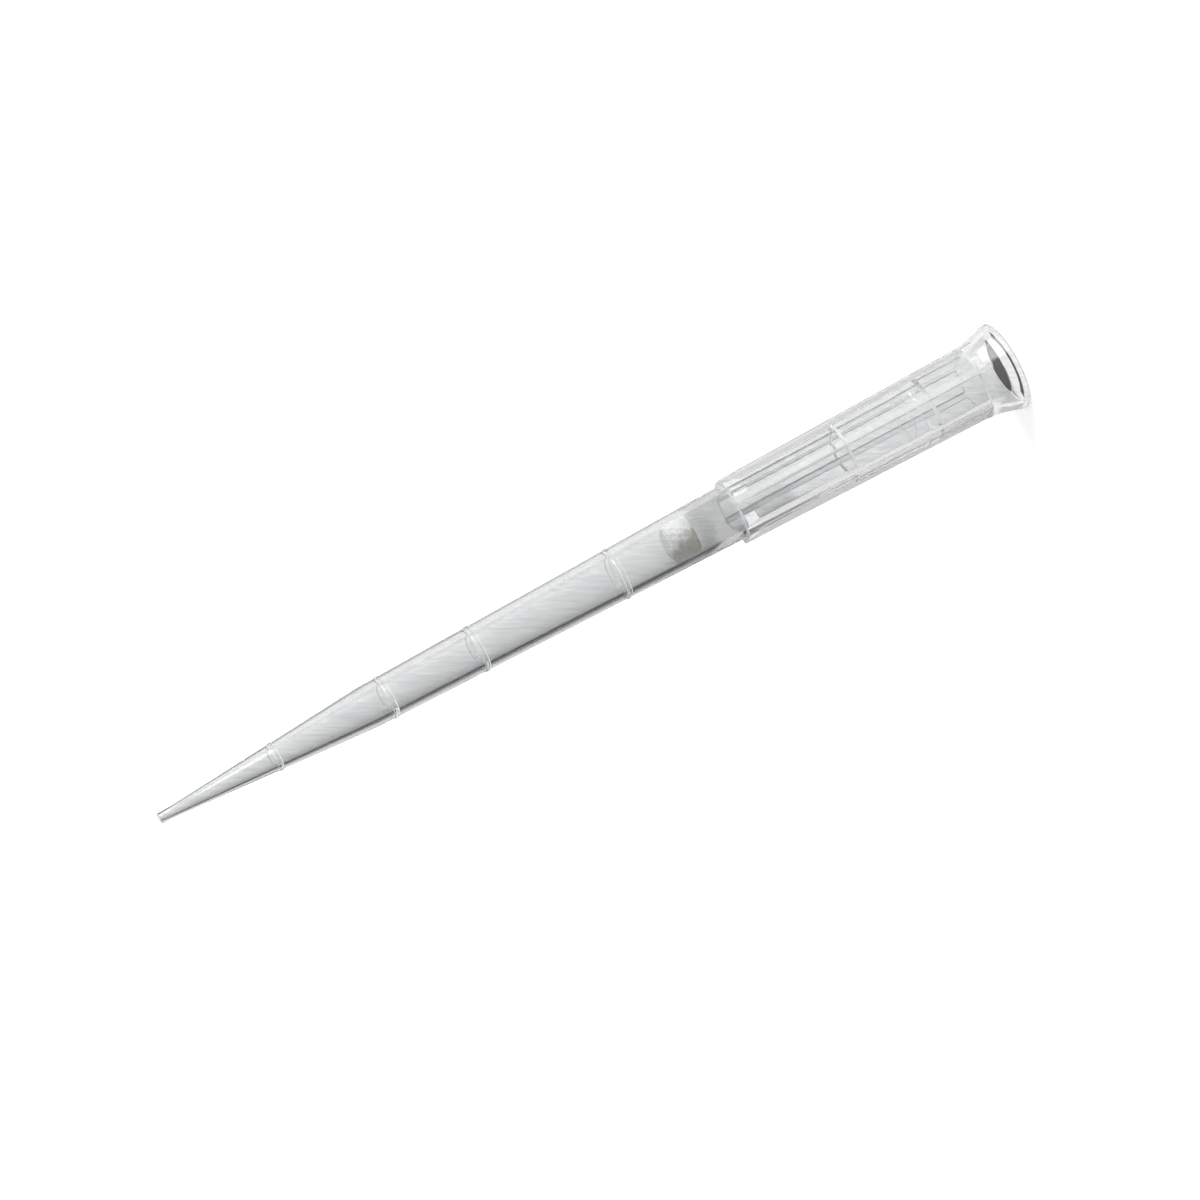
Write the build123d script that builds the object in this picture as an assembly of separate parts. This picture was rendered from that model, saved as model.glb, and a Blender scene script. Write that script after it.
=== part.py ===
from build123d import *
import os

# Filter pipette tip, 200 microlitre class, long form. Millimetres.
# The origin is the centre of the mouth's end plane. +Z runs along the axis to the fine end, so a
# height is a distance from the mouth. Distances from the fine end say so.

# --- Outside of the tube ---------------------------------------------------------------------
tip_length = 84.0
end_radius = 0.47
end_land_radius = 0.51
end_land_from_end = 1.5         # short stretch that is nearly straight
kink_radius = 1.886
kink_from_end = 20.1            # where the steep taper turns gentle
shoulder_radius = 2.53
shoulder_height = 27.9          # where the collar and its ribs end

# --- Outside of the collar between its ribs: three zones that grow towards the mouth ----------
neck_zone_radii = (2.54, 2.65)      # at the shoulder's end and at the mouth's end
throat_zone_radii = (2.84, 2.94)
seat_zone_radii = (3.00, 3.04)
neck_zone_end = 16.7                # heights where one zone steps to the next
throat_zone_end = 9.5
zone_slope = 0.15                   # height of the step's cone
shoulder_ring_radius = 2.90         # ring that closes the collar at the shoulder
shoulder_ring_width = 0.15
shoulder_ring_slope = 0.45          # cone from the ring down to the neck zone

# --- Mouth -----------------------------------------------------------------------------------
end_ring_radius = 3.40
end_ring_width = 0.72
end_ring_slope = 0.10
flare_height = 2.67             # where the flare leaves the end ring
flare_radius = 3.98             # where the flare meets the lip
lip_radius = 4.08
lip_height = 0.45
lip_round = 0.08
mouth_radius = 3.45             # edge of the lead-in
mouth_depth = 3.3

# --- Bore ------------------------------------------------------------------------------------
seat_radius = 2.42              # cylinder that the pipette's nozzle seals in
seat_length = 4.8
seat_step = 0.30                # cone from the seat to the throat
throat_radii = (2.08, 2.05)     # from the seat's step to the throat's own small step
throat_step_height = 10.40
throat_step = 0.08
upper_throat_radii = (2.01, 1.99)
neck_step_height = 16.70
neck_step = 0.12
neck_radii = (1.90, 1.885)      # at the step and at the shoulder
kink_bore_radius = 1.233
orifice_radius = 0.22

# --- Ribs ------------------------------------------------------------------------------------
rib_count = 6
rib_width = 0.66
rib_shoulder_radius = 3.06      # crest at the shoulder
rib_ring_radius = 3.43          # crest at the end ring
rib_end_height = 1.95           # where a rib has run out on the flare
rib_sink = 0.03                 # how far its end lies under the flare
rib_round = 0.12

# --- Graduation marks: 10, 50, 100 and 200 microlitres ----------------------------------------
marks_from_end = (11.1, 21.9, 30.7, 44.55)
mark_width = 0.46
mark_rise = 0.06
mark_gap = 32.0                 # degrees left open on two opposite sides
mark_turn = -22.6               # direction of one gap, from a rib's direction

# --- Filter -----------------------------------------------------------------------------------
filter_height = 32.0            # its end on the mouth's side
filter_length = 2.45

axis_overrun = 1.0              # how far cutting shapes run past the ends

ring_top = flare_height + end_ring_width
kink_height = tip_length - kink_from_end
end_land_height = tip_length - end_land_from_end
seat_top = mouth_depth + seat_length


def radius_between(height, low, high):
    """Radius at a height on the straight line between two (radius, height) points."""
    share = (height - low[1]) / (high[1] - low[1])
    return low[0] + share * (high[0] - low[0])


def collar_outline():
    """(radius, height) points of the collar between its ribs, from the end ring to the shoulder."""
    ring_base = shoulder_height - shoulder_ring_width
    return [
        (seat_zone_radii[1], ring_top + end_ring_slope),
        (seat_zone_radii[0], throat_zone_end),
        (throat_zone_radii[1], throat_zone_end + zone_slope),
        (throat_zone_radii[0], neck_zone_end),
        (neck_zone_radii[1], neck_zone_end + zone_slope),
        (neck_zone_radii[0], ring_base - shoulder_ring_slope),
        (shoulder_ring_radius, ring_base),
        (shoulder_ring_radius, shoulder_height),
    ]


def tube_outline():
    """(radius, height) points of the tube's outside, from the shoulder to the fine end."""
    return [
        (shoulder_radius, shoulder_height),
        (kink_radius, kink_height),
        (end_land_radius, end_land_height),
        (end_radius, tip_length),
    ]


def bore_outline():
    """(radius, height) points of the bore, from the mouth to the orifice."""
    return [
        (mouth_radius, 0),
        (seat_radius, mouth_depth),
        (seat_radius, seat_top),
        (throat_radii[0], seat_top + seat_step),
        (throat_radii[1], throat_step_height),
        (upper_throat_radii[0], throat_step_height + throat_step),
        (upper_throat_radii[1], neck_step_height),
        (neck_radii[0], neck_step_height + neck_step),
        (neck_radii[1], shoulder_height),
        (kink_bore_radius, kink_height),
        (orifice_radius, tip_length),
    ]


def turned(outline):
    """Solid of revolution between the axis and a (radius, height) outline."""
    corners = [(0, outline[0][1])] + outline + [(0, outline[-1][1])]
    section = Polyline(*[(radius, 0, height) for radius, height in corners], close=True)
    return revolve(make_face(section), Axis.Z)


def outer_form():
    """The tube's outside as one turned solid, with its lip rounded."""
    mouth = [
        (lip_radius, 0),
        (lip_radius, lip_height),
        (flare_radius, lip_height),
        (end_ring_radius, flare_height),
        (end_ring_radius, ring_top),
    ]
    solid = turned(mouth + collar_outline() + tube_outline())
    lip_edges = solid.edges().filter_by(GeomType.CIRCLE).filter_by(
        lambda edge: abs(edge.radius - lip_radius) < lip_round / 10
    )
    return fillet(lip_edges, lip_round)


def rib():
    """One rib in the XZ plane, from the axis out to its crest, with the crest's edges rounded."""
    flare_there = radius_between(
        rib_end_height, (flare_radius, lip_height), (end_ring_radius, flare_height)
    )
    crest = [
        (flare_there - rib_sink, rib_end_height),
        (rib_ring_radius, ring_top),
        (rib_shoulder_radius, shoulder_height),
    ]
    corners = [(0, rib_end_height)] + crest + [(0, shoulder_height)]
    section = Polyline(*[(radius, 0, height) for radius, height in corners], close=True)
    blank = extrude(make_face(section), rib_width / 2, both=True)
    crest_edges = blank.edges().filter_by(
        lambda edge: edge.center().X > end_land_radius
        and abs(edge.tangent_at(0).Z) > 0.9
        and abs(edge.center().Y) > rib_width / 4
    )
    return fillet(crest_edges, rib_round)


def mark(height):
    """The two raised arcs of one graduation mark, with a gap on two opposite sides."""
    low, high = (kink_radius, kink_height), (shoulder_radius, shoulder_height)
    if height > kink_height:
        low, high = (end_land_radius, end_land_height), (kink_radius, kink_height)
    edges = (height - mark_width / 2, height + mark_width / 2)
    rims = [(radius_between(edge, low, high) + mark_rise, edge) for edge in edges]
    corners = [(0, edges[0])] + rims + [(0, edges[1])]
    section = Polyline(*[(radius, 0, level) for radius, level in corners], close=True)
    arc = revolve(make_face(section), Axis.Z, 180 - mark_gap)
    first = arc.rotate(Axis.Z, mark_turn + mark_gap / 2)
    return first + first.rotate(Axis.Z, 180)


def tip_body():
    body = outer_form()
    for number in range(rib_count):
        body += rib().rotate(Axis.Z, number * 360 / rib_count)
    for from_end in marks_from_end:
        body += mark(tip_length - from_end)
    return body - bore()


def bore():
    """The whole bore, run a little past both ends."""
    outline = bore_outline()
    before = (outline[0][0], -axis_overrun)
    after = (outline[-1][0], tip_length + axis_overrun)
    return turned([before] + outline + [after])


def filter_plug():
    """The porous plug: the stretch of bore that it is squeezed into."""
    slab = Cylinder(
        lip_radius, filter_length, align=(Align.CENTER, Align.CENTER, Align.MIN)
    )
    return bore() & slab.moved(Location((0, 0, filter_height)))


os.makedirs("parts", exist_ok=True)
for name, solid in (("tip_body", tip_body()), ("filter_plug", filter_plug())):
    export_step(solid, f"parts/{name}.step")
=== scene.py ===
import math

import bmesh
import bpy
from mathutils import Matrix, Vector


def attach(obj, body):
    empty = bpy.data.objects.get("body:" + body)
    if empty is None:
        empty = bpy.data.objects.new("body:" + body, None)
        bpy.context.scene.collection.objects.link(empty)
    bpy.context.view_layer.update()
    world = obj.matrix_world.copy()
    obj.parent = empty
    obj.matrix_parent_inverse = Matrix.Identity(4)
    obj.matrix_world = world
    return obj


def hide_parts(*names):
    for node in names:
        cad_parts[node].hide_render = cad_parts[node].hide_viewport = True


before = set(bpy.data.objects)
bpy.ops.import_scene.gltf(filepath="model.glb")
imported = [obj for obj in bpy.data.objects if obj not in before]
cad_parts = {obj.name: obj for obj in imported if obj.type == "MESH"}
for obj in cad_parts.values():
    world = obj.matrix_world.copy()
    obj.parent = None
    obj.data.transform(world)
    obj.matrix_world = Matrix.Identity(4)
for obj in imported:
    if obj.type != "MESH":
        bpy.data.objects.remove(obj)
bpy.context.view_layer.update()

# A long clear pipette tip with a porous filter. It stands on its mouth, with its fine end up.
# Sizes are in millimetres, as in the CAD model, and become metres where a mesh is made.
MM = 0.001

# --- Camera -----------------------------------------------------------------------------------
# The camera looks at the tip from a little above its middle and leans, so that the tip lies
# across the view with its mouth up and to the right. Its distances are in metres.
CAMERA_AZIMUTH = math.radians(-73.1)
CAMERA_TILT = math.radians(12.5)
CAMERA_LEAN = math.radians(28.2)
CAMERA_DISTANCE = 0.46
CAMERA_FIELD = 0.10256          # width seen at the tip
CAMERA_RANGE = (0.01, 20)
SENSOR_WIDTH = 36               # millimetres
AIM_HEIGHT = 0.0418
AIM_ASIDE = 0.0013

AXIS = Vector((0, 0, 1))
TOWARDS_CAMERA = Vector((math.cos(CAMERA_AZIMUTH), math.sin(CAMERA_AZIMUTH), 0))
TIP_LEFT = Vector((-math.sin(CAMERA_AZIMUTH), math.cos(CAMERA_AZIMUTH), 0))


def place_camera():
    """The camera, turned so that the tip's axis leans across the view."""
    aim = AXIS * AIM_HEIGHT - TIP_LEFT * AIM_ASIDE
    back = TOWARDS_CAMERA * math.cos(CAMERA_TILT) + AXIS * math.sin(CAMERA_TILT)
    along = (-AXIS + AXIS.dot(back) * back).normalized()
    across = back.cross(along)
    right = math.cos(CAMERA_LEAN) * along - math.sin(CAMERA_LEAN) * across
    up = math.sin(CAMERA_LEAN) * along + math.cos(CAMERA_LEAN) * across
    data = bpy.data.cameras.new("camera")
    data.sensor_width = SENSOR_WIDTH
    data.lens = SENSOR_WIDTH * CAMERA_DISTANCE / CAMERA_FIELD
    data.clip_start, data.clip_end = CAMERA_RANGE
    camera = bpy.data.objects.new("camera", data)
    bpy.context.scene.collection.objects.link(camera)
    turn = Matrix((right, up, back)).transposed().to_4x4()
    camera.matrix_world = Matrix.Translation(aim + back * CAMERA_DISTANCE) @ turn
    bpy.context.scene.camera = camera


place_camera()


# --- Sizes: outside ---------------------------------------------------------------------------
TIP_LENGTH = 84.0
END_RADIUS = 0.47
END_LAND_RADIUS = 0.51
END_LAND_FROM_END = 1.5
KINK_RADIUS = 1.886
KINK_FROM_END = 20.1
SHOULDER_RADIUS = 2.53
SHOULDER_HEIGHT = 27.9

# Each zone of the collar widens towards the mouth, between the two radii.
NECK_ZONE_RADII = (2.54, 2.65)
THROAT_ZONE_RADII = (2.84, 2.94)
SEAT_ZONE_RADII = (3.00, 3.04)
NECK_ZONE_END = 16.7
THROAT_ZONE_END = 9.5
ZONE_SLOPE = 0.15
SHOULDER_RING_RADIUS = 2.90
SHOULDER_RING_WIDTH = 0.15
SHOULDER_RING_SLOPE = 1.60      # drawn out, so that the ring hardly shows from the side

END_RING_RADIUS = 3.40
END_RING_WIDTH = 0.72
END_RING_SLOPE = 0.10
FLARE_HEIGHT = 2.67
FLARE_RADIUS = 3.98
LIP_RADIUS = 4.08
LIP_HEIGHT = 0.45
MOUTH_RADIUS = 3.45
MOUTH_DEPTH = 3.3

RING_TOP = FLARE_HEIGHT + END_RING_WIDTH
RING_BASE = SHOULDER_HEIGHT - SHOULDER_RING_WIDTH
KINK_HEIGHT = TIP_LENGTH - KINK_FROM_END
END_LAND_HEIGHT = TIP_LENGTH - END_LAND_FROM_END

# --- Sizes: bore ------------------------------------------------------------------------------
SEAT_RADIUS = 2.42
SEAT_LENGTH = 4.8
SEAT_STEP = 0.30
THROAT_RADII = (2.08, 2.05)
THROAT_STEP_HEIGHT = 10.40
THROAT_STEP = 0.08
UPPER_THROAT_RADII = (2.01, 1.99)
NECK_STEP_HEIGHT = 16.70
NECK_STEP = 0.12
NECK_RADII = (1.90, 1.885)
KINK_BORE_RADIUS = 1.233
ORIFICE_RADIUS = 0.22

SEAT_TOP = MOUTH_DEPTH + SEAT_LENGTH

# Radii inside the wall, which tell the outside from the bore: (radius, height) of each stretch's
# two ends, from the mouth up.
WALL_MIDDLE = (
    ((3.80, 0), (3.80, LIP_HEIGHT)),
    ((3.65, LIP_HEIGHT), (2.70, MOUTH_DEPTH)),
    ((2.75, MOUTH_DEPTH), (2.20, SHOULDER_HEIGHT)),
    ((2.20, SHOULDER_HEIGHT), (1.55, KINK_HEIGHT)),
    ((1.55, KINK_HEIGHT), (0.33, TIP_LENGTH)),
)

# --- Sizes: ribs, marks, filter ---------------------------------------------------------------
RIB_COUNT = 6
RIB_SHOULDER_RADIUS = 3.06
RIB_RING_RADIUS = 3.43
RIB_END_HEIGHT = 1.95
RIB_SINK = 0.03                 # how far a rib's end lies under the flare
RIBS_FROM = 1.6                 # nothing below this height belongs to a rib
TUBE_MARGIN = 0.05              # the shoulder this close to the tube stays flat

# Half of a rib's section: (distance from its middle plane, share of its rise).
RIB_SECTION = (
    (0.00, 1.0), (0.12, 1.0), (0.20, 0.995), (0.25, 0.97), (0.285, 0.925), (0.31, 0.85),
    (0.325, 0.76), (0.332, 0.20), (0.345, 0.09), (0.37, 0.025), (0.41, 0.0),
)
# Heights of the rings on the flare, closest where the ribs run out.
RUN_OUT_HEIGHTS = (1.75, 1.88, 1.95, 2.02, 2.09, 2.16, 2.25, 2.40)

MARKS_FROM_END = (11.1, 21.9, 30.7, 44.55)
MARK_RISE = 0.06
MARK_REACH = 0.30               # half the height in which a mark's rings lie
MARK_GAP = 32.0                 # degrees that a mark leaves open on each of two sides
MARK_TURN = -22.6
MARK_FADE = 2.0                 # degrees over which a mark's end sinks into the tube
# A mark's rings: (distance from the mark's middle, share of its rise).
MARK_RINGS = (
    (-0.29, 0.0), (-0.25, 0.06), (-0.215, 0.5), (-0.18, 0.94), (-0.13, 1.0),
    (0.13, 1.0), (0.18, 0.94), (0.215, 0.5), (0.25, 0.06), (0.29, 0.0),
)

FILTER_HEIGHT = 32.0
FILTER_LENGTH = 2.45
FILTER_EDGE = 0.16
FILTER_CROWN = 0.50             # its upper edge is well rounded
FILTER_BULGE = 0.35             # share of the crown that is left at the middle of its round
FILTER_SQUEEZE = 0.012          # thin air gap that the grains leave at the wall

# --- Fineness ---------------------------------------------------------------------------------
STEPS_ROUND = 360               # segments round the axis, a multiple of the ribs
FILTER_STEPS_ROUND = 120
CORNER_ROUND = 0.035            # moulded corners are never quite sharp
CORNER_STEPS = 3
CORNER_SHARE = 0.42             # most of an outline's side that a corner's arc takes
SMOOTH_TURN = math.radians(6)   # an outline that turns less than this needs no arc
SHARP_ANGLE = math.radians(40)
MERGE_DISTANCE = 1e-8           # metres
SLACK = 1e-4                    # allowance for rounding when heights are compared
NORMAL_WEIGHT = 60

# --- Finishes ---------------------------------------------------------------------------------
# The body's material slots, after the clear plastic in slot 0.
FROSTED, SATIN, SCUFFED = 1, 2, 3

FROST_HEIGHTS = (1.8, END_LAND_HEIGHT - 1.0)
FROST_LIMIT = 0.85              # a face turned further than this from plainly outward is frosted
CREST_DEPTH = 0.05              # satin lies on a rib this close to its crest
SCUFF_HEIGHTS = (SEAT_TOP - 0.1, NECK_STEP_HEIGHT + 0.3)
SCUFF_LIMIT = 0.9               # the same limit for the scuffed steps of the bore

POLYPROPYLENE_IOR = 1.49

# The grain of a matt mould: grains to a metre, their shade, and the share by which they take
# the roughness up and down.
MATT_GRAIN = 2500
MATT_SHADE = (0.96, 0.97, 0.97)
MATT_SPREAD = 0.2

# The darkest of the painted streaks of light and shade in the clear plastic, and what light loses
# in its depth.
PAINTED_STREAK_SHADE = (0.88, 0.90, 0.908)
DEPTH_COLOUR = (0.45, 0.49, 0.51)
DEPTH_DENSITY = 6

# The painted streaks of light and shade stand in for a streaky surface behind the plastic, and
# slant to one side. Their sizes, in metres, are two across the slant and one along it.
PAINTED_STREAK_AZIMUTH = math.radians(16.9)
PAINTED_STREAK_SLANT = math.radians(28)
PAINTED_STREAK_SIZE = (0.00024, 0.0006, 0.0040)

# How clear the plastic stays at a height: painted shade makes it darker just below the filter.
FILTER_SHADE_BAND = ((27.7, 1.0), (28.2, 0.80), (31.7, 0.80), (32.1, 1.0))

FILTER_WHITE = (0.99, 0.99, 0.985)
FILTER_CREAM = (0.82, 0.80, 0.76)
FILTER_GRAIN = 7000             # grains to a metre
FILTER_GRAIN_DEPTH = 0.00009    # metres
FILTER_MOTTLE = 3500            # patches to a metre

# The filter has painted shade on the side away from the lamp, most at its foot: where the shade
# starts and where it is full, in metres along its direction, with the raggedness of its edge added.
PAINTED_SHADE_COLOUR = (0.56, 0.535, 0.475)
PAINTED_SHADE_SIDE = Vector((-0.93, -0.28, -0.47))
PAINTED_SHADE_EDGES = (-0.0154, -0.0145)
PAINTED_SHADE_RAGGEDNESS = 0.0012
PAINTED_SHADE_PATCHES = 1800            # patches to a metre along that edge

# --- Sizes: stage -----------------------------------------------------------------------------
# These are in metres, but for the pads.
FLOOR_HALF_SIZE = 4.0
FLOOR_COLOUR = (0.9, 0.9, 0.9)
FLOOR_GLOW = 0.52               # added where the camera sees the floor, which keeps it white
FLOOR_IN_PLASTIC = 0.87         # how bright the floor is in and through the plastic

BLACK = (0.01, 0.01, 0.012)
CARD_HALF_SIZE = 1.2
CARD_LIFT = 0.0002
CARD_MIDDLE = 48.0
# How dark the card is, against the direction from the tip: degrees from straight behind it.
CARD_DEPTH = (
    (-14, 0.0), (0, 0.24), (15, 0.54), (30, 0.80), (42, 0.97), (56, 1.0), (68, 0.45), (84, 0.0),
)
# The share of that depth at a distance from the tip.
CARD_REACH = 0.25
CARD_SHARE = ((0.0, 0.45), (0.03, 0.38), (0.045, 0.18), (0.085, 0.13), (0.092, 1.0), (0.25, 1.0))

# The pads of painted shade, the one behind the mouth's middle and the thin arc in front of it, in
# millimetres, but for their lift above the floor, in metres.
PAD_DEPTH = 2.2
PAD_BACK = 3.4
PAD_HALF_WIDTH = 2.70
PAD_ASIDE = 0.40
PAD_STEPS = 64
PAD_ARC = math.radians(130)
PAD_ARC_RADII = (2.7, 3.35)
PAD_ARC_STEPS = 48
PAD_LIFT = 0.0003

LIT_SIDE = (TIP_LEFT * 0.82 + AXIS * 0.32 + TOWARDS_CAMERA * 0.47).normalized()
LAMP_POWER = 3.4
LAMP_WIDTH = math.radians(56)
# The sky's strength on the shaded and on the lit side, and how far towards the light each lies.
SKY_RANGE = (0.28, 0.76)
SKY_SIDES = (-0.4, 0.9)

LIGHT_BOUNCES = 24
LIGHT_BOUNCES_IN_ALL = 32


# --- Mesh helpers -----------------------------------------------------------------------------
def between(height, low, high):
    """Radius at a height on the straight line between two (radius, height) points."""
    share = (height - low[1]) / (high[1] - low[1])
    return low[0] + share * (high[0] - low[0])


def blend_in(share):
    """Smooth step from 0 to 1."""
    share = min(max(share, 0.0), 1.0)
    return share * share * (3 - 2 * share)


def rounded(outline, radius, closed=True):
    """The outline with each corner replaced by a small arc."""
    points = [Vector((r, 0, z)) for r, z in outline]
    count = len(points)
    result = []
    for number, corner in enumerate(points):
        inward = points[number - 1] - corner
        outward = points[(number + 1) % count] - corner
        is_end = not closed and number in (0, count - 1)
        turn = math.pi - inward.angle(outward)
        if is_end or turn < SMOOTH_TURN:
            result.append(corner)
            continue
        longest = min(inward.length, outward.length) * CORNER_SHARE
        reach = min(radius * math.tan(turn / 2), longest)
        start = corner + inward.normalized() * reach
        end = corner + outward.normalized() * reach
        for step in range(CORNER_STEPS + 1):
            share = step / CORNER_STEPS
            first = start.lerp(corner, share)
            second = corner.lerp(end, share)
            result.append(first.lerp(second, share))
    return [(point.x, point.z) for point in result]


def with_rings(outline, heights):
    """The outline with a point at each of the heights where it climbs, which is the outside."""
    result = []
    for number, point in enumerate(outline):
        result.append(point)
        after = outline[(number + 1) % len(outline)]
        for height in sorted(heights):
            if point[1] < height < after[1]:
                result.append((between(height, point, after), height))
    return result


def spun(outline, steps, closed=True):
    """The closed mesh that a (radius, height) outline makes, spun round the axis."""
    form = bmesh.new()
    verts = [form.verts.new((r * MM, 0, z * MM)) for r, z in outline]
    edges = [form.edges.new(pair) for pair in zip(verts, verts[1:])]
    if closed:
        edges.append(form.edges.new((verts[-1], verts[0])))
    bmesh.ops.spin(
        form, geom=verts + edges, axis=(0, 0, 1), cent=(0, 0, 0),
        angle=math.tau, steps=steps, use_merge=True, use_duplicate=False,
    )
    bmesh.ops.remove_doubles(form, verts=form.verts, dist=MERGE_DISTANCE)
    bmesh.ops.recalc_face_normals(form, faces=form.faces)
    return form


def placed(form, name, materials):
    """The mesh as an object in the scene, with its materials."""
    mesh = bpy.data.meshes.new(name)
    form.to_mesh(mesh)
    form.free()
    for material in materials:
        mesh.materials.append(material)
    piece = bpy.data.objects.new(name, mesh)
    bpy.context.scene.collection.objects.link(piece)
    return piece


def finished(form, name, materials):
    """The mesh as a piece that rides with the tip, smooth but for its sharp edges."""
    for face in form.faces:
        face.smooth = True
    piece = placed(form, name, materials)
    piece.data.set_sharp_from_angle(angle=SHARP_ANGLE)
    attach(piece, "root")
    return piece


# --- Tip body: outline ------------------------------------------------------------------------
def outside():
    """(radius, height) points of the outside without ribs and marks, from lip to fine end."""
    return [
        (LIP_RADIUS, 0),
        (LIP_RADIUS, LIP_HEIGHT),
        (FLARE_RADIUS, LIP_HEIGHT),
        (END_RING_RADIUS, FLARE_HEIGHT),
        (END_RING_RADIUS, RING_TOP),
        (SEAT_ZONE_RADII[1], RING_TOP + END_RING_SLOPE),
        (SEAT_ZONE_RADII[0], THROAT_ZONE_END),
        (THROAT_ZONE_RADII[1], THROAT_ZONE_END + ZONE_SLOPE),
        (THROAT_ZONE_RADII[0], NECK_ZONE_END),
        (NECK_ZONE_RADII[1], NECK_ZONE_END + ZONE_SLOPE),
        (NECK_ZONE_RADII[0], RING_BASE - SHOULDER_RING_SLOPE),
        (SHOULDER_RING_RADIUS, RING_BASE),
        (SHOULDER_RING_RADIUS, SHOULDER_HEIGHT),
        (SHOULDER_RADIUS, SHOULDER_HEIGHT),
        (KINK_RADIUS, KINK_HEIGHT),
        (END_LAND_RADIUS, END_LAND_HEIGHT),
        (END_RADIUS, TIP_LENGTH),
    ]


def inside():
    """(radius, height) points of the bore, from the orifice back to the mouth."""
    return [
        (ORIFICE_RADIUS, TIP_LENGTH),
        (KINK_BORE_RADIUS, KINK_HEIGHT),
        (NECK_RADII[1], SHOULDER_HEIGHT),
        (NECK_RADII[0], NECK_STEP_HEIGHT + NECK_STEP),
        (UPPER_THROAT_RADII[1], NECK_STEP_HEIGHT),
        (UPPER_THROAT_RADII[0], THROAT_STEP_HEIGHT + THROAT_STEP),
        (THROAT_RADII[1], THROAT_STEP_HEIGHT),
        (THROAT_RADII[0], SEAT_TOP + SEAT_STEP),
        (SEAT_RADIUS, SEAT_TOP),
        (SEAT_RADIUS, MOUTH_DEPTH),
        (MOUTH_RADIUS, 0),
    ]


def bore_radius(height):
    """Radius of the bore between the shoulder and the kink, where the filter sits."""
    return between(height, (NECK_RADII[1], SHOULDER_HEIGHT), (KINK_BORE_RADIUS, KINK_HEIGHT))


def is_outside(radius, height):
    """Whether a point of the body's surface is on its outside, and not in the bore."""
    for low, high in WALL_MIDDLE:
        if height < high[1]:
            break
    return radius > between(height, low, high)


# --- Tip body: ribs, marks and finishes -------------------------------------------------------
def rib_crest(height):
    """Radius of the ribs' crest at a height, or 0 where there is no rib."""
    if height > SHOULDER_HEIGHT + SLACK:
        return 0
    if height > RING_TOP:
        return between(height, (RIB_RING_RADIUS, RING_TOP), (RIB_SHOULDER_RADIUS, SHOULDER_HEIGHT))
    flare_there = between(
        RIB_END_HEIGHT, (FLARE_RADIUS, LIP_HEIGHT), (END_RING_RADIUS, FLARE_HEIGHT)
    )
    end = (flare_there - RIB_SINK, RIB_END_HEIGHT)
    return between(height, end, (RIB_RING_RADIUS, RING_TOP))


def raise_ribs(form):
    """Gathers the segments at each rib and lifts them to the rib's section."""
    per_half = STEPS_ROUND // (RIB_COUNT * 2)
    pitch = math.tau / RIB_COUNT
    last = len(RIB_SECTION) - 1
    for vert in form.verts:
        height = vert.co.z / MM
        radius = vert.co.xy.length / MM
        if not is_outside(radius, height) or not RIBS_FROM < height < SHOULDER_HEIGHT + SLACK:
            continue
        if height > SHOULDER_HEIGHT - SLACK and radius < SHOULDER_RADIUS + TUBE_MARGIN:
            continue
        angle = math.atan2(vert.co.y, vert.co.x)
        rib = round(angle / pitch)
        off = angle - rib * pitch
        side = math.copysign(1, off)
        place = round(abs(off) / (pitch / 2) * per_half)
        crest = max(rib_crest(height), radius)
        if place <= last:
            aside, share = RIB_SECTION[place]
            lifted = radius + (crest - radius) * share
            turned = math.asin(aside / lifted)
        else:
            lifted = radius
            edge = math.asin(RIB_SECTION[last][0] / radius)
            turned = edge + (pitch / 2 - edge) * (place - last) / (per_half - last)
        angle = rib * pitch + side * turned
        vert.co.x = lifted * MM * math.cos(angle)
        vert.co.y = lifted * MM * math.sin(angle)


def raise_marks(form):
    """Lifts the arcs of the volume marks, leaving a gap on two opposite sides."""
    for vert in form.verts:
        height = vert.co.z / MM
        radius = vert.co.xy.length / MM
        if height < SHOULDER_HEIGHT or not is_outside(radius, height):
            continue
        for from_end in MARKS_FROM_END:
            offset = height - (TIP_LENGTH - from_end)
            if abs(offset) > MARK_REACH:
                continue
            rise = min(MARK_RINGS, key=lambda ring: abs(ring[0] - offset))[1]
            turn = math.degrees(math.atan2(vert.co.y, vert.co.x)) - MARK_TURN
            # Degrees from the middle of the nearer gap.
            from_gap = abs((turn + 90) % 180 - 90)
            share = blend_in((from_gap - MARK_GAP / 2 + MARK_FADE / 2) / MARK_FADE)
            lifted = radius + MARK_RISE * rise * share
            vert.co.x *= lifted / radius
            vert.co.y *= lifted / radius


def give_finishes(form):
    """Frosts the outside's steps and the sides of ribs and marks, gives the ribs' crests a satin
    finish, and scuffs the steps of the bore."""
    form.normal_update()
    for face in form.faces:
        middle = face.calc_center_median()
        radius = middle.xy.length / MM
        height = middle.z / MM
        outwards = face.normal.dot(Vector((middle.x, middle.y, 0)).normalized())
        if not is_outside(radius, height):
            if SCUFF_HEIGHTS[0] < height < SCUFF_HEIGHTS[1] and -outwards < SCUFF_LIMIT:
                face.material_index = SCUFFED
        elif FROST_HEIGHTS[0] < height < FROST_HEIGHTS[1]:
            crest = rib_crest(height)
            if outwards < FROST_LIMIT:
                face.material_index = FROSTED
            elif height > RING_TOP and crest and radius > crest - CREST_DEPTH:
                face.material_index = SATIN


# --- Material helpers -------------------------------------------------------------------------
def new_material(name):
    """A material with its nodes, its links and its shader."""
    material = bpy.data.materials.new(name)
    material.use_nodes = True
    nodes = material.node_tree.nodes
    return material, nodes, material.node_tree.links, nodes["Principled BSDF"]


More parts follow.
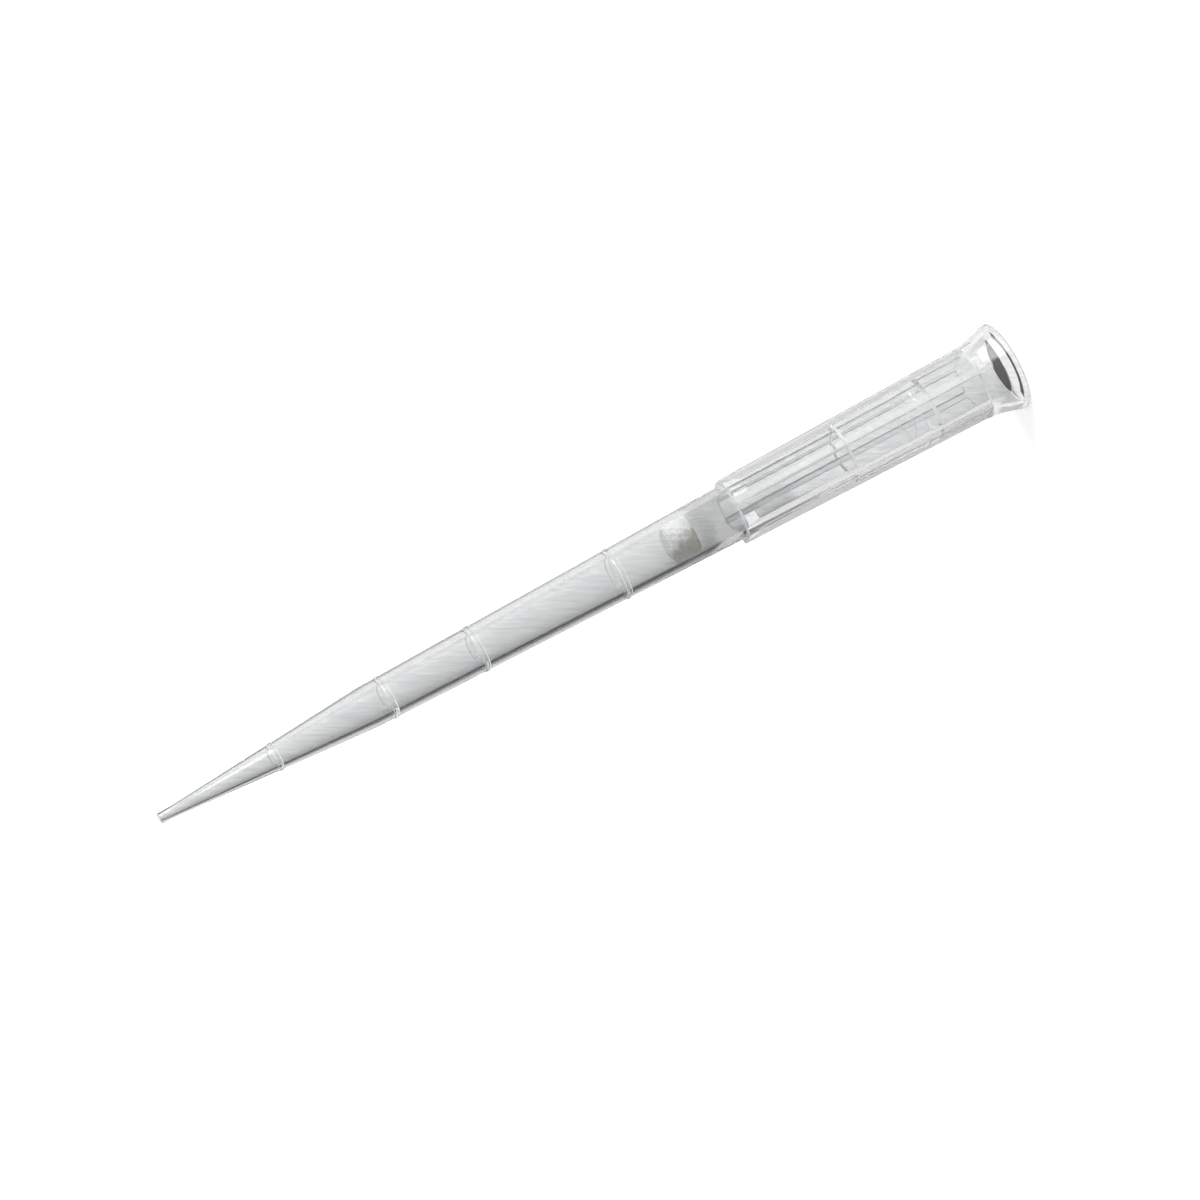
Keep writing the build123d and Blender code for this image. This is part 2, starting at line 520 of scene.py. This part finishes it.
def ramp_of(nodes, stops):
    """A colour ramp from (position, colour) stops, where a colour may be a single grey value."""
    node = nodes.new("ShaderNodeValToRGB")
    elements = node.color_ramp.elements
    elements[0].position, elements[1].position = stops[0][0], stops[-1][0]
    for position, colour in stops[1:-1]:
        elements.new(position)
    for element, (position, colour) in zip(elements, stops):
        rgb = colour if isinstance(colour, tuple) else (colour, colour, colour)
        element.color = (*rgb, 1)
    return node


def multiplied(nodes, links, colour):
    """A node that multiplies the colour with the one that its socket B gets."""
    node = nodes.new("ShaderNodeMix")
    node.data_type = "RGBA"
    node.blend_type = "MULTIPLY"
    node.inputs["Factor"].default_value = 1.0
    links.new(colour, node.inputs["A"])
    return node


def math_node(nodes, links, operation, first, second):
    """The output of a Math node on two values, each a number or another node's output."""
    node = nodes.new("ShaderNodeMath")
    node.operation = operation
    for socket, value in zip(node.inputs, (first, second)):
        if isinstance(value, (int, float)):
            socket.default_value = value
        else:
            links.new(value, socket)
    return node.outputs[0]


# --- Materials --------------------------------------------------------------------------------
def clear_polypropylene():
    """Clear moulded plastic: a little grey in depth, glossy, with fine slanting painted streaks of
    light and shade, and painted shade just below the filter."""
    material, nodes, links, shader = new_material("clear_polypropylene")
    shader.inputs["Transmission Weight"].default_value = 0.97
    shader.inputs["IOR"].default_value = POLYPROPYLENE_IOR
    place = nodes.new("ShaderNodeTexCoord")

    # Painted streaks of light and shade, standing in for a streaky surface behind the plastic.
    turn = nodes.new("ShaderNodeMapping")
    turn.inputs["Rotation"].default_value = (0, 0, -PAINTED_STREAK_AZIMUTH)
    slant = nodes.new("ShaderNodeMapping")
    slant.vector_type = "TEXTURE"
    slant.inputs["Rotation"].default_value = (0, PAINTED_STREAK_SLANT, 0)
    slant.inputs["Scale"].default_value = PAINTED_STREAK_SIZE
    streaks = nodes.new("ShaderNodeTexNoise")
    streaks.inputs["Scale"].default_value = 1.0
    streaks.inputs["Detail"].default_value = 2.0
    streaks.inputs["Roughness"].default_value = 0.55
    links.new(place.outputs["Object"], turn.inputs["Vector"])
    links.new(turn.outputs["Vector"], slant.inputs["Vector"])
    links.new(slant.outputs["Vector"], streaks.inputs["Vector"])

    # Painted shade: the plastic is darker just below the filter.
    parts = nodes.new("ShaderNodeSeparateXYZ")
    share = nodes.new("ShaderNodeMapRange")
    share.inputs["From Max"].default_value = TIP_LENGTH * MM
    filter_shade = ramp_of(nodes, [(height / TIP_LENGTH, clearness) for height, clearness in FILTER_SHADE_BAND])
    links.new(place.outputs["Object"], parts.inputs["Vector"])
    links.new(parts.outputs["Z"], share.inputs["Value"])
    links.new(share.outputs["Result"], filter_shade.inputs["Fac"])

    tint = ramp_of(nodes, [(0.40, PAINTED_STREAK_SHADE), (0.58, 1.0)])
    filter_shaded = multiplied(nodes, links, tint.outputs["Color"])
    gloss = nodes.new("ShaderNodeMapRange")
    gloss.inputs["To Min"].default_value = 0.02
    gloss.inputs["To Max"].default_value = 0.06
    depth = nodes.new("ShaderNodeVolumeAbsorption")
    depth.inputs["Color"].default_value = (*DEPTH_COLOUR, 1)
    depth.inputs["Density"].default_value = DEPTH_DENSITY
    links.new(streaks.outputs["Fac"], tint.inputs["Fac"])
    links.new(streaks.outputs["Fac"], gloss.inputs["Value"])
    links.new(filter_shade.outputs["Color"], filter_shaded.inputs["B"])
    links.new(filter_shaded.outputs["Result"], shader.inputs["Base Color"])
    links.new(gloss.outputs["Result"], shader.inputs["Roughness"])
    links.new(depth.outputs["Volume"], nodes["Material Output"].inputs["Volume"])
    return material


def matt_grain():
    """Node group: the fine grain of a matt mould, as a tint and a roughness between two ends."""
    group = bpy.data.node_groups.new("matt_grain", "ShaderNodeTree")
    sockets = group.interface
    sockets.new_socket("Place", in_out="INPUT", socket_type="NodeSocketVector")
    sockets.new_socket("Least Roughness", in_out="INPUT", socket_type="NodeSocketFloat")
    sockets.new_socket("Most Roughness", in_out="INPUT", socket_type="NodeSocketFloat")
    sockets.new_socket("Tint", in_out="OUTPUT", socket_type="NodeSocketColor")
    sockets.new_socket("Roughness", in_out="OUTPUT", socket_type="NodeSocketFloat")
    nodes, links = group.nodes, group.links
    given = nodes.new("NodeGroupInput")
    result = nodes.new("NodeGroupOutput")
    grain = nodes.new("ShaderNodeTexNoise")
    grain.inputs["Scale"].default_value = MATT_GRAIN
    grain.inputs["Detail"].default_value = 2.0
    tint = ramp_of(nodes, [(0.30, MATT_SHADE), (0.60, 1.0)])
    matt = nodes.new("ShaderNodeMapRange")
    links.new(given.outputs["Place"], grain.inputs["Vector"])
    links.new(grain.outputs["Fac"], tint.inputs["Fac"])
    links.new(grain.outputs["Fac"], matt.inputs["Value"])
    links.new(given.outputs["Least Roughness"], matt.inputs["To Min"])
    links.new(given.outputs["Most Roughness"], matt.inputs["To Max"])
    links.new(tint.outputs["Color"], result.inputs["Tint"])
    links.new(matt.outputs["Result"], result.inputs["Roughness"])
    return group


def milky_polypropylene(name, grain_group, clear_share, roughness):
    """The same plastic where the mould was left matt: milky, and light where it faces a lamp."""
    material, nodes, links, shader = new_material(name)
    shader.inputs["Transmission Weight"].default_value = clear_share
    shader.inputs["IOR"].default_value = POLYPROPYLENE_IOR
    place = nodes.new("ShaderNodeTexCoord")
    grain = nodes.new("ShaderNodeGroup")
    grain.node_tree = grain_group
    grain.inputs["Least Roughness"].default_value = roughness * (1 - MATT_SPREAD)
    grain.inputs["Most Roughness"].default_value = roughness * (1 + MATT_SPREAD)
    links.new(place.outputs["Object"], grain.inputs["Place"])
    links.new(grain.outputs["Tint"], shader.inputs["Base Color"])
    links.new(grain.outputs["Roughness"], shader.inputs["Roughness"])
    return material


def sintered_polyethylene():
    """Porous white plastic, pressed from fused grains, with painted shade on the side away from the
    lamp.
    """
    material, nodes, links, shader = new_material("sintered_polyethylene")
    shader.inputs["Roughness"].default_value = 0.85
    place = nodes.new("ShaderNodeTexCoord")

    grains = nodes.new("ShaderNodeTexVoronoi")
    grains.inputs["Scale"].default_value = FILTER_GRAIN
    bump = nodes.new("ShaderNodeBump")
    bump.inputs["Strength"].default_value = 0.8
    bump.inputs["Distance"].default_value = FILTER_GRAIN_DEPTH
    links.new(place.outputs["Object"], grains.inputs["Vector"])
    links.new(grains.outputs["Distance"], bump.inputs["Height"])
    links.new(bump.outputs["Normal"], shader.inputs["Normal"])

    # Painted shade: the filter is darker on the side away from the lamp, most at its foot.
    side = nodes.new("ShaderNodeVectorMath")
    side.operation = "DOT_PRODUCT"
    side.inputs[1].default_value = PAINTED_SHADE_SIDE
    ragged = nodes.new("ShaderNodeTexNoise")
    ragged.inputs["Scale"].default_value = PAINTED_SHADE_PATCHES
    ragged.inputs["Detail"].default_value = 3
    reach = nodes.new("ShaderNodeMath")
    reach.operation = "MULTIPLY_ADD"
    reach.inputs[1].default_value = PAINTED_SHADE_RAGGEDNESS
    shade_share = nodes.new("ShaderNodeMapRange")
    shade_share.interpolation_type = "SMOOTHSTEP"
    shade_share.inputs["From Min"].default_value = PAINTED_SHADE_EDGES[0]
    shade_share.inputs["From Max"].default_value = PAINTED_SHADE_EDGES[1]
    links.new(place.outputs["Object"], side.inputs[0])
    links.new(place.outputs["Object"], ragged.inputs["Vector"])
    links.new(ragged.outputs["Fac"], reach.inputs[0])
    links.new(side.outputs["Value"], reach.inputs[2])
    links.new(reach.outputs["Value"], shade_share.inputs["Value"])

    mottle = nodes.new("ShaderNodeTexNoise")
    mottle.inputs["Scale"].default_value = FILTER_MOTTLE
    mottle.inputs["Detail"].default_value = 4
    colour = ramp_of(nodes, [(0.30, FILTER_CREAM), (0.52, FILTER_WHITE)])
    shaded_colour = multiplied(nodes, links, colour.outputs["Color"])
    shaded_colour.inputs["B"].default_value = (*PAINTED_SHADE_COLOUR, 1)
    links.new(place.outputs["Object"], mottle.inputs["Vector"])
    links.new(mottle.outputs["Fac"], colour.inputs["Fac"])
    links.new(shade_share.outputs["Result"], shaded_colour.inputs["Factor"])
    links.new(shaded_colour.outputs["Result"], shader.inputs["Base Color"])
    return material


# --- Pieces -----------------------------------------------------------------------------------
def tip_body(clear, frosted, satin, scuffed):
    """The clear tube with its collar, ribs, marks and flared mouth."""
    mark_heights = [
        TIP_LENGTH - from_end + offset
        for from_end in MARKS_FROM_END
        for offset, rise in MARK_RINGS
    ]
    outline = rounded(outside() + inside(), CORNER_ROUND)
    outline = with_rings(outline, mark_heights + list(RUN_OUT_HEIGHTS))
    form = spun(outline, STEPS_ROUND)
    raise_ribs(form)
    raise_marks(form)
    bmesh.ops.recalc_face_normals(form, faces=form.faces)
    give_finishes(form)
    piece = finished(form, "clear_tip", (clear, frosted, satin, scuffed))
    weighted = piece.modifiers.new("weighted_normals", "WEIGHTED_NORMAL")
    weighted.mode = "FACE_AREA"
    weighted.weight = NORMAL_WEIGHT
    weighted.keep_sharp = True
    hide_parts("tip_body")


def filter_plug(material):
    """The porous plug, pressed into the bore a little above the collar."""
    low, high = FILTER_HEIGHT, FILTER_HEIGHT + FILTER_LENGTH
    bulge = FILTER_CROWN * FILTER_BULGE
    outline = [
        (0.0, low),
        (bore_radius(low) - FILTER_SQUEEZE, low),
        (bore_radius(high) - FILTER_SQUEEZE, high - FILTER_CROWN),
        (bore_radius(high) - bulge, high - bulge),
        (bore_radius(high) - FILTER_CROWN, high),
        (0.0, high),
    ]
    outline = rounded(outline, FILTER_EDGE, closed=False)
    form = spun(outline, FILTER_STEPS_ROUND, closed=False)
    piece = finished(form, "porous_plug", (material,))
    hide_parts("filter_plug")


# --- Stage: floor, card, pads, sky and lamp ---------------------------------------------------
def seen_in_plastic(nodes, links):
    """1 for what is seen in a reflection or through clear plastic, 0 for the light on a surface."""
    path = nodes.new("ShaderNodeLightPath")
    either = math_node(
        nodes, links, "MAXIMUM", path.outputs["Is Glossy Ray"], path.outputs["Is Transmission Ray"]
    )
    # True before the first bounce off a matt surface.
    first = math_node(nodes, links, "LESS_THAN", path.outputs["Diffuse Depth"], 0.5)
    return math_node(nodes, links, "MULTIPLY", either, first)


def on_stage(form, name, material):
    """The mesh placed in the scene with its material."""
    piece = placed(form, name, (material,))
    return piece


def flat_square(half_size, height):
    """A level square round the axis."""
    form = bmesh.new()
    bmesh.ops.create_grid(form, x_segments=1, y_segments=1, size=half_size)
    bmesh.ops.translate(form, verts=form.verts, vec=(0, 0, height))
    return form


def matte(name, colour):
    """A material without any gloss, with its nodes, its links and its shader."""
    material, nodes, links, shader = new_material(name)
    shader.inputs["Base Color"].default_value = (*colour, 1)
    shader.inputs["Roughness"].default_value = 1.0
    shader.inputs["Specular IOR Level"].default_value = 0.0
    return material, nodes, links, shader


def pale_floor():
    """White to the camera, but for the tip's shadow, and plain white in the plastic."""
    material, nodes, links, shader = matte("pale_floor", FLOOR_COLOUR)
    path = nodes.new("ShaderNodeLightPath")
    glow = math_node(nodes, links, "MULTIPLY", path.outputs["Is Camera Ray"], FLOOR_GLOW)
    shader.inputs["Emission Color"].default_value = (1, 1, 1, 1)
    links.new(glow, shader.inputs["Emission Strength"])
    white = nodes.new("ShaderNodeEmission")
    white.inputs["Strength"].default_value = FLOOR_IN_PLASTIC
    either = nodes.new("ShaderNodeMixShader")
    links.new(seen_in_plastic(nodes, links), either.inputs[0])
    links.new(shader.outputs[0], either.inputs[1])
    links.new(white.outputs[0], either.inputs[2])
    links.new(either.outputs[0], nodes["Material Output"].inputs["Surface"])
    on_stage(flat_square(FLOOR_HALF_SIZE, 0), "floor", material)


def dark_card():
    """A dark card with feathered edges, flat on the floor behind the tip.
    It is seen only in and through the plastic, and draws the shade along the tip's right side."""
    material, nodes, links, shader = matte("dark_card", BLACK)
    place = nodes.new("ShaderNodeTexCoord")

    # The gradient runs round the tip, with its middle in the direction of the card's.
    turn = nodes.new("ShaderNodeMapping")
    to_middle = math.pi - CAMERA_AZIMUTH - math.radians(CARD_MIDDLE)
    turn.inputs["Rotation"].default_value = (0, 0, to_middle)
    around = nodes.new("ShaderNodeTexGradient")
    around.gradient_type = "RADIAL"
    feather = ramp_of(
        nodes, [(0.5 + (degrees - CARD_MIDDLE) / 360, depth) for degrees, depth in CARD_DEPTH]
    )
    links.new(place.outputs["Object"], turn.inputs["Vector"])
    links.new(turn.outputs["Vector"], around.inputs["Vector"])
    links.new(around.outputs["Fac"], feather.inputs["Fac"])

    reach = nodes.new("ShaderNodeVectorMath")
    reach.operation = "LENGTH"
    near = ramp_of(nodes, [(metres / CARD_REACH, share) for metres, share in CARD_SHARE])
    links.new(place.outputs["Object"], reach.inputs[0])
    distance = math_node(nodes, links, "DIVIDE", reach.outputs["Value"], CARD_REACH)
    links.new(distance, near.inputs["Fac"])

    depth = math_node(nodes, links, "MULTIPLY", feather.outputs["Color"], near.outputs["Color"])
    links.new(depth, shader.inputs["Alpha"])
    card = on_stage(flat_square(CARD_HALF_SIZE, CARD_LIFT), "dark_card", material)
    card.visible_camera = False
    card.visible_diffuse = False
    card.visible_shadow = False


def mouth_shade_pads():
    """Two black pads of painted shade under the open mouth: one behind its middle, and a thin arc
    in front.
    """
    material = matte("painted_shade_pad", BLACK)[0]
    form = bmesh.new()
    bmesh.ops.create_circle(form, cap_ends=True, segments=PAD_STEPS, radius=1.0)
    bmesh.ops.scale(form, verts=form.verts, vec=(PAD_DEPTH * MM, PAD_HALF_WIDTH * MM, 1))
    bmesh.ops.translate(form, verts=form.verts, vec=(-PAD_DEPTH * MM, PAD_ASIDE * MM, PAD_LIFT))
    bmesh.ops.bisect_plane(
        form, geom=form.verts[:] + form.edges[:] + form.faces[:],
        plane_co=(-PAD_BACK * MM, 0, 0), plane_no=(-1, 0, 0), clear_outer=True,
    )
    to_start = Matrix.Rotation(-PAD_ARC / 2, 3, "Z")
    ends = [form.verts.new(to_start @ Vector((r * MM, 0, PAD_LIFT))) for r in PAD_ARC_RADII]
    bmesh.ops.spin(
        form, geom=[*ends, form.edges.new(ends)], axis=(0, 0, 1), cent=(0, 0, 0),
        angle=PAD_ARC, steps=PAD_ARC_STEPS, use_merge=False, use_duplicate=False,
    )
    bmesh.ops.rotate(
        form, verts=form.verts, cent=(0, 0, 0), matrix=Matrix.Rotation(CAMERA_AZIMUTH, 3, "Z")
    )
    pads = on_stage(form, "mouth_shade_pads", material)
    pads.visible_camera = False


def sky():
    """Brighter on the tip's lit side, and plain white to the camera and in the plastic."""
    world = bpy.data.worlds.new("studio")
    bpy.context.scene.world = world
    world.use_nodes = True
    nodes, links = world.node_tree.nodes, world.node_tree.links
    light = nodes["Background"]
    light.inputs["Color"].default_value = (1, 1, 1, 1)
    place = nodes.new("ShaderNodeTexCoord")
    side = nodes.new("ShaderNodeVectorMath")
    side.operation = "DOT_PRODUCT"
    side.inputs[1].default_value = LIT_SIDE
    glow = nodes.new("ShaderNodeMapRange")
    glow.inputs["From Min"].default_value = SKY_SIDES[0]
    glow.inputs["From Max"].default_value = SKY_SIDES[1]
    glow.inputs["To Min"].default_value = SKY_RANGE[0]
    glow.inputs["To Max"].default_value = SKY_RANGE[1]
    links.new(place.outputs["Generated"], side.inputs[0])
    links.new(side.outputs["Value"], glow.inputs["Value"])

    path = nodes.new("ShaderNodeLightPath")
    strength = nodes.new("ShaderNodeMix")
    strength.inputs["B"].default_value = 1.0
    in_plastic = seen_in_plastic(nodes, links)
    always = math_node(nodes, links, "MAXIMUM", in_plastic, path.outputs["Is Camera Ray"])
    links.new(always, strength.inputs["Factor"])
    links.new(glow.outputs["Result"], strength.inputs["A"])
    links.new(strength.outputs["Result"], light.inputs["Strength"])


def soft_lamp():
    """A wide soft light from far off, even over the whole floor."""
    data = bpy.data.lights.new("key_lamp", "SUN")
    data.angle = LAMP_WIDTH
    data.energy = LAMP_POWER
    lamp = bpy.data.objects.new("key_lamp", data)
    bpy.context.scene.collection.objects.link(lamp)
    lamp.rotation_euler = LIT_SIDE.to_track_quat("Z", "Y").to_euler()


# --- Build ------------------------------------------------------------------------------------
grain_group = matt_grain()
tip_body(
    clear_polypropylene(),
    milky_polypropylene("frosted_polypropylene", grain_group, clear_share=0.66, roughness=0.45),
    milky_polypropylene("satin_polypropylene", grain_group, clear_share=0.84, roughness=0.10),
    milky_polypropylene("scuffed_polypropylene", grain_group, clear_share=0.97, roughness=0.50),
)
filter_plug(sintered_polyethylene())

pale_floor()
dark_card()
mouth_shade_pads()
sky()
soft_lamp()

# Light passes many times from side to side in the clear walls before it leaves them.
light_paths = bpy.context.scene.cycles
light_paths.glossy_bounces = LIGHT_BOUNCES
light_paths.transmission_bounces = LIGHT_BOUNCES
light_paths.max_bounces = LIGHT_BOUNCES_IN_ALL

bpy.context.scene.view_settings.view_transform = "Standard"
